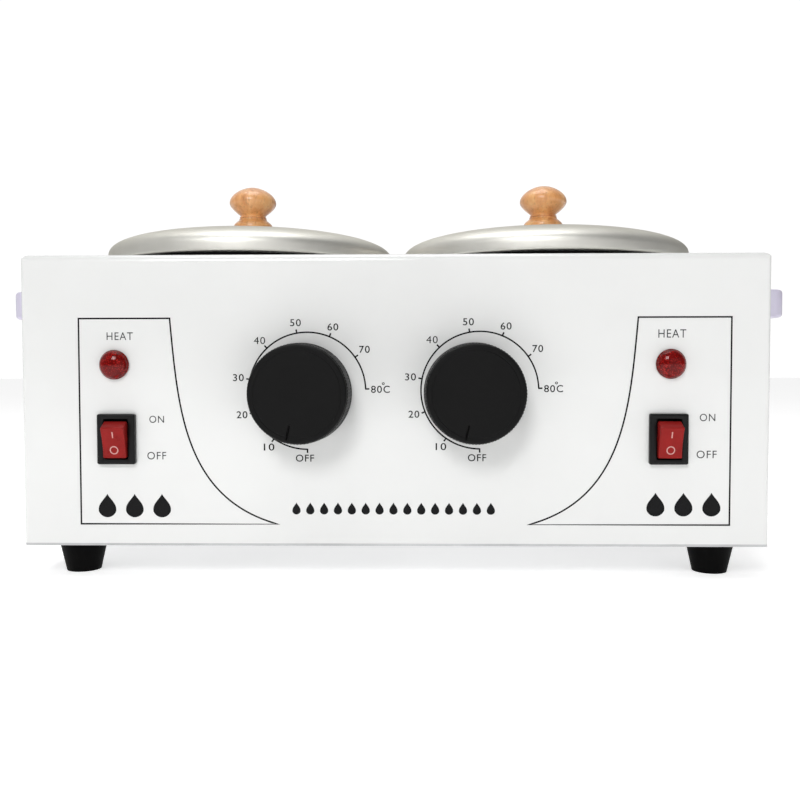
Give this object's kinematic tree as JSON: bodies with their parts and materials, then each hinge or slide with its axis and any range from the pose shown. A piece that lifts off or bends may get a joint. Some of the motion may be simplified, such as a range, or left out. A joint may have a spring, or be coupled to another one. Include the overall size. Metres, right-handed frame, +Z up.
{
  "type": "double wax warmer",
  "caption": "Countertop wax warmer: enamelled box with heated wells, lift-out pots under domed lids with turned wooden knobs, dial thermostats and rocker switches.",
  "frame": {"origin": "on the ground plane under the feet, in the middle of the overall box", "axes": "+X is the right of the front view, -Y is the front with the controls, +Z is up"},
  "size_m": [0.3464, 0.1908, 0.1745],
  "materials": {
    "enamel": "glossy white baked enamel",
    "plated_steel": "zinc-plated sheet steel",
    "screw_steel": "nickel-plated steel",
    "rubber": "matt black rubber",
    "handle_plastic": "satin pale lilac moulded plastic",
    "pot_aluminium": "spun aluminium with fine turning marks",
    "lid_aluminium": "satin brushed aluminium",
    "heater": "mica band in a thin steel jacket",
    "felt": "needled mineral felt",
    "moulded_black": "matt black phenolic moulding",
    "copper": "bare copper tube",
    "bezel_plastic": "fine-textured black nylon",
    "brass": "bare brass",
    "lens": "clear deep red lens",
    "nylon": "natural nylon",
    "ceramic": "glazed ceramic",
    "wire": "silicone-covered stranded wire",
    "rocker_plastic": "translucent red moulded plastic",
    "knob_plastic": "matt black moulded plastic with a fine grain",
    "wood": "lacquered beech",
    "panel_print": "black screen print on the front panel",
    "mark_print": "pale pink print on the rockers"
  },
  "bodies": {
    "housing": {"housing_shell": "enamel", "base_plate": "plated_steel", "foot_front_left": "rubber", "foot_front_right": "rubber", "foot_rear_left": "rubber", "foot_rear_right": "rubber", "foot_screws": "screw_steel", "base_screws": "screw_steel", "side_handle_left": "handle_plastic", "side_handle_right": "handle_plastic", "handle_screws": "screw_steel", "seat_ring_left": "rubber", "seat_ring_right": "rubber", "well_left": "pot_aluminium", "well_right": "pot_aluminium", "heater_band_left": "heater", "heater_band_right": "heater", "band_bolts": "screw_steel", "insulation_left": "felt", "insulation_right": "felt", "thermostat_left": "moulded_black", "thermostat_right": "moulded_black", "thermostat_screws": "screw_steel", "sensor_bulb_left": "copper", "sensor_bulb_right": "copper", "thermal_cutoff_left": "moulded_black", "thermal_cutoff_right": "moulded_black", "switch_housing_left": "bezel_plastic", "switch_housing_right": "bezel_plastic", "switch_terminals_left": "brass", "switch_terminals_right": "brass", "indicator_lens_left": "lens", "indicator_lens_right": "lens", "indicator_body_left": "nylon", "indicator_body_right": "nylon", "indicator_nuts": "screw_steel", "terminal_block": "ceramic", "cord_gland": "rubber", "earth_screw": "brass", "wiring_left": "wire", "wiring_right": "wire"},
    "pot_left": {"pot_left": "pot_aluminium"},
    "lid_left": {"lid_left": "lid_aluminium", "lid_knob_left": "wood", "lid_screw_left": "screw_steel", "lid_washer_left": "screw_steel"},
    "knob_left": {"control_knob_left": "knob_plastic", "thermostat_shaft_left": "screw_steel"},
    "rocker_left": {"rocker_left": "rocker_plastic"},
    "pot_right": {"pot_right": "pot_aluminium"},
    "lid_right": {"lid_right": "lid_aluminium", "lid_knob_right": "wood", "lid_screw_right": "screw_steel", "lid_washer_right": "screw_steel"},
    "knob_right": {"control_knob_right": "knob_plastic", "thermostat_shaft_right": "screw_steel"},
    "rocker_right": {"rocker_right": "rocker_plastic"}
  },
  "joints": [
    {"name": "pot_left_lift", "type": "slide", "parent": "housing", "child": "pot_left", "axis": [0, 0, 1], "range_m": [0, 0.09]},
    {"name": "lid_left_lift", "type": "slide", "parent": "pot_left", "child": "lid_left", "axis": [0, 0, 1], "range_m": [0, 0.05]},
    {"name": "knob_left_turn", "type": "hinge", "parent": "housing", "child": "knob_left", "pos_m": [-0.0367, -0.078, 0.0753], "axis": [0, 1, 0], "range_deg": [-13, 257]},
    {"name": "rocker_left_tilt", "type": "hinge", "parent": "housing", "child": "rocker_left", "pos_m": [-0.1121, -0.0788, 0.0567], "axis": [-1, 0, 0], "range_deg": [0, 32]},
    {"name": "pot_right_lift", "type": "slide", "parent": "housing", "child": "pot_right", "axis": [0, 0, 1], "range_m": [0, 0.09]},
    {"name": "lid_right_lift", "type": "slide", "parent": "pot_right", "child": "lid_right", "axis": [0, 0, 1], "range_m": [0, 0.05]},
    {"name": "knob_right_turn", "type": "hinge", "parent": "housing", "child": "knob_right", "pos_m": [0.0325, -0.078, 0.0753], "axis": [0, 1, 0], "range_deg": [-13, 257]},
    {"name": "rocker_right_tilt", "type": "hinge", "parent": "housing", "child": "rocker_right", "pos_m": [0.1103, -0.0788, 0.0567], "axis": [-1, 0, 0], "range_deg": [0, 32]}
  ]
}
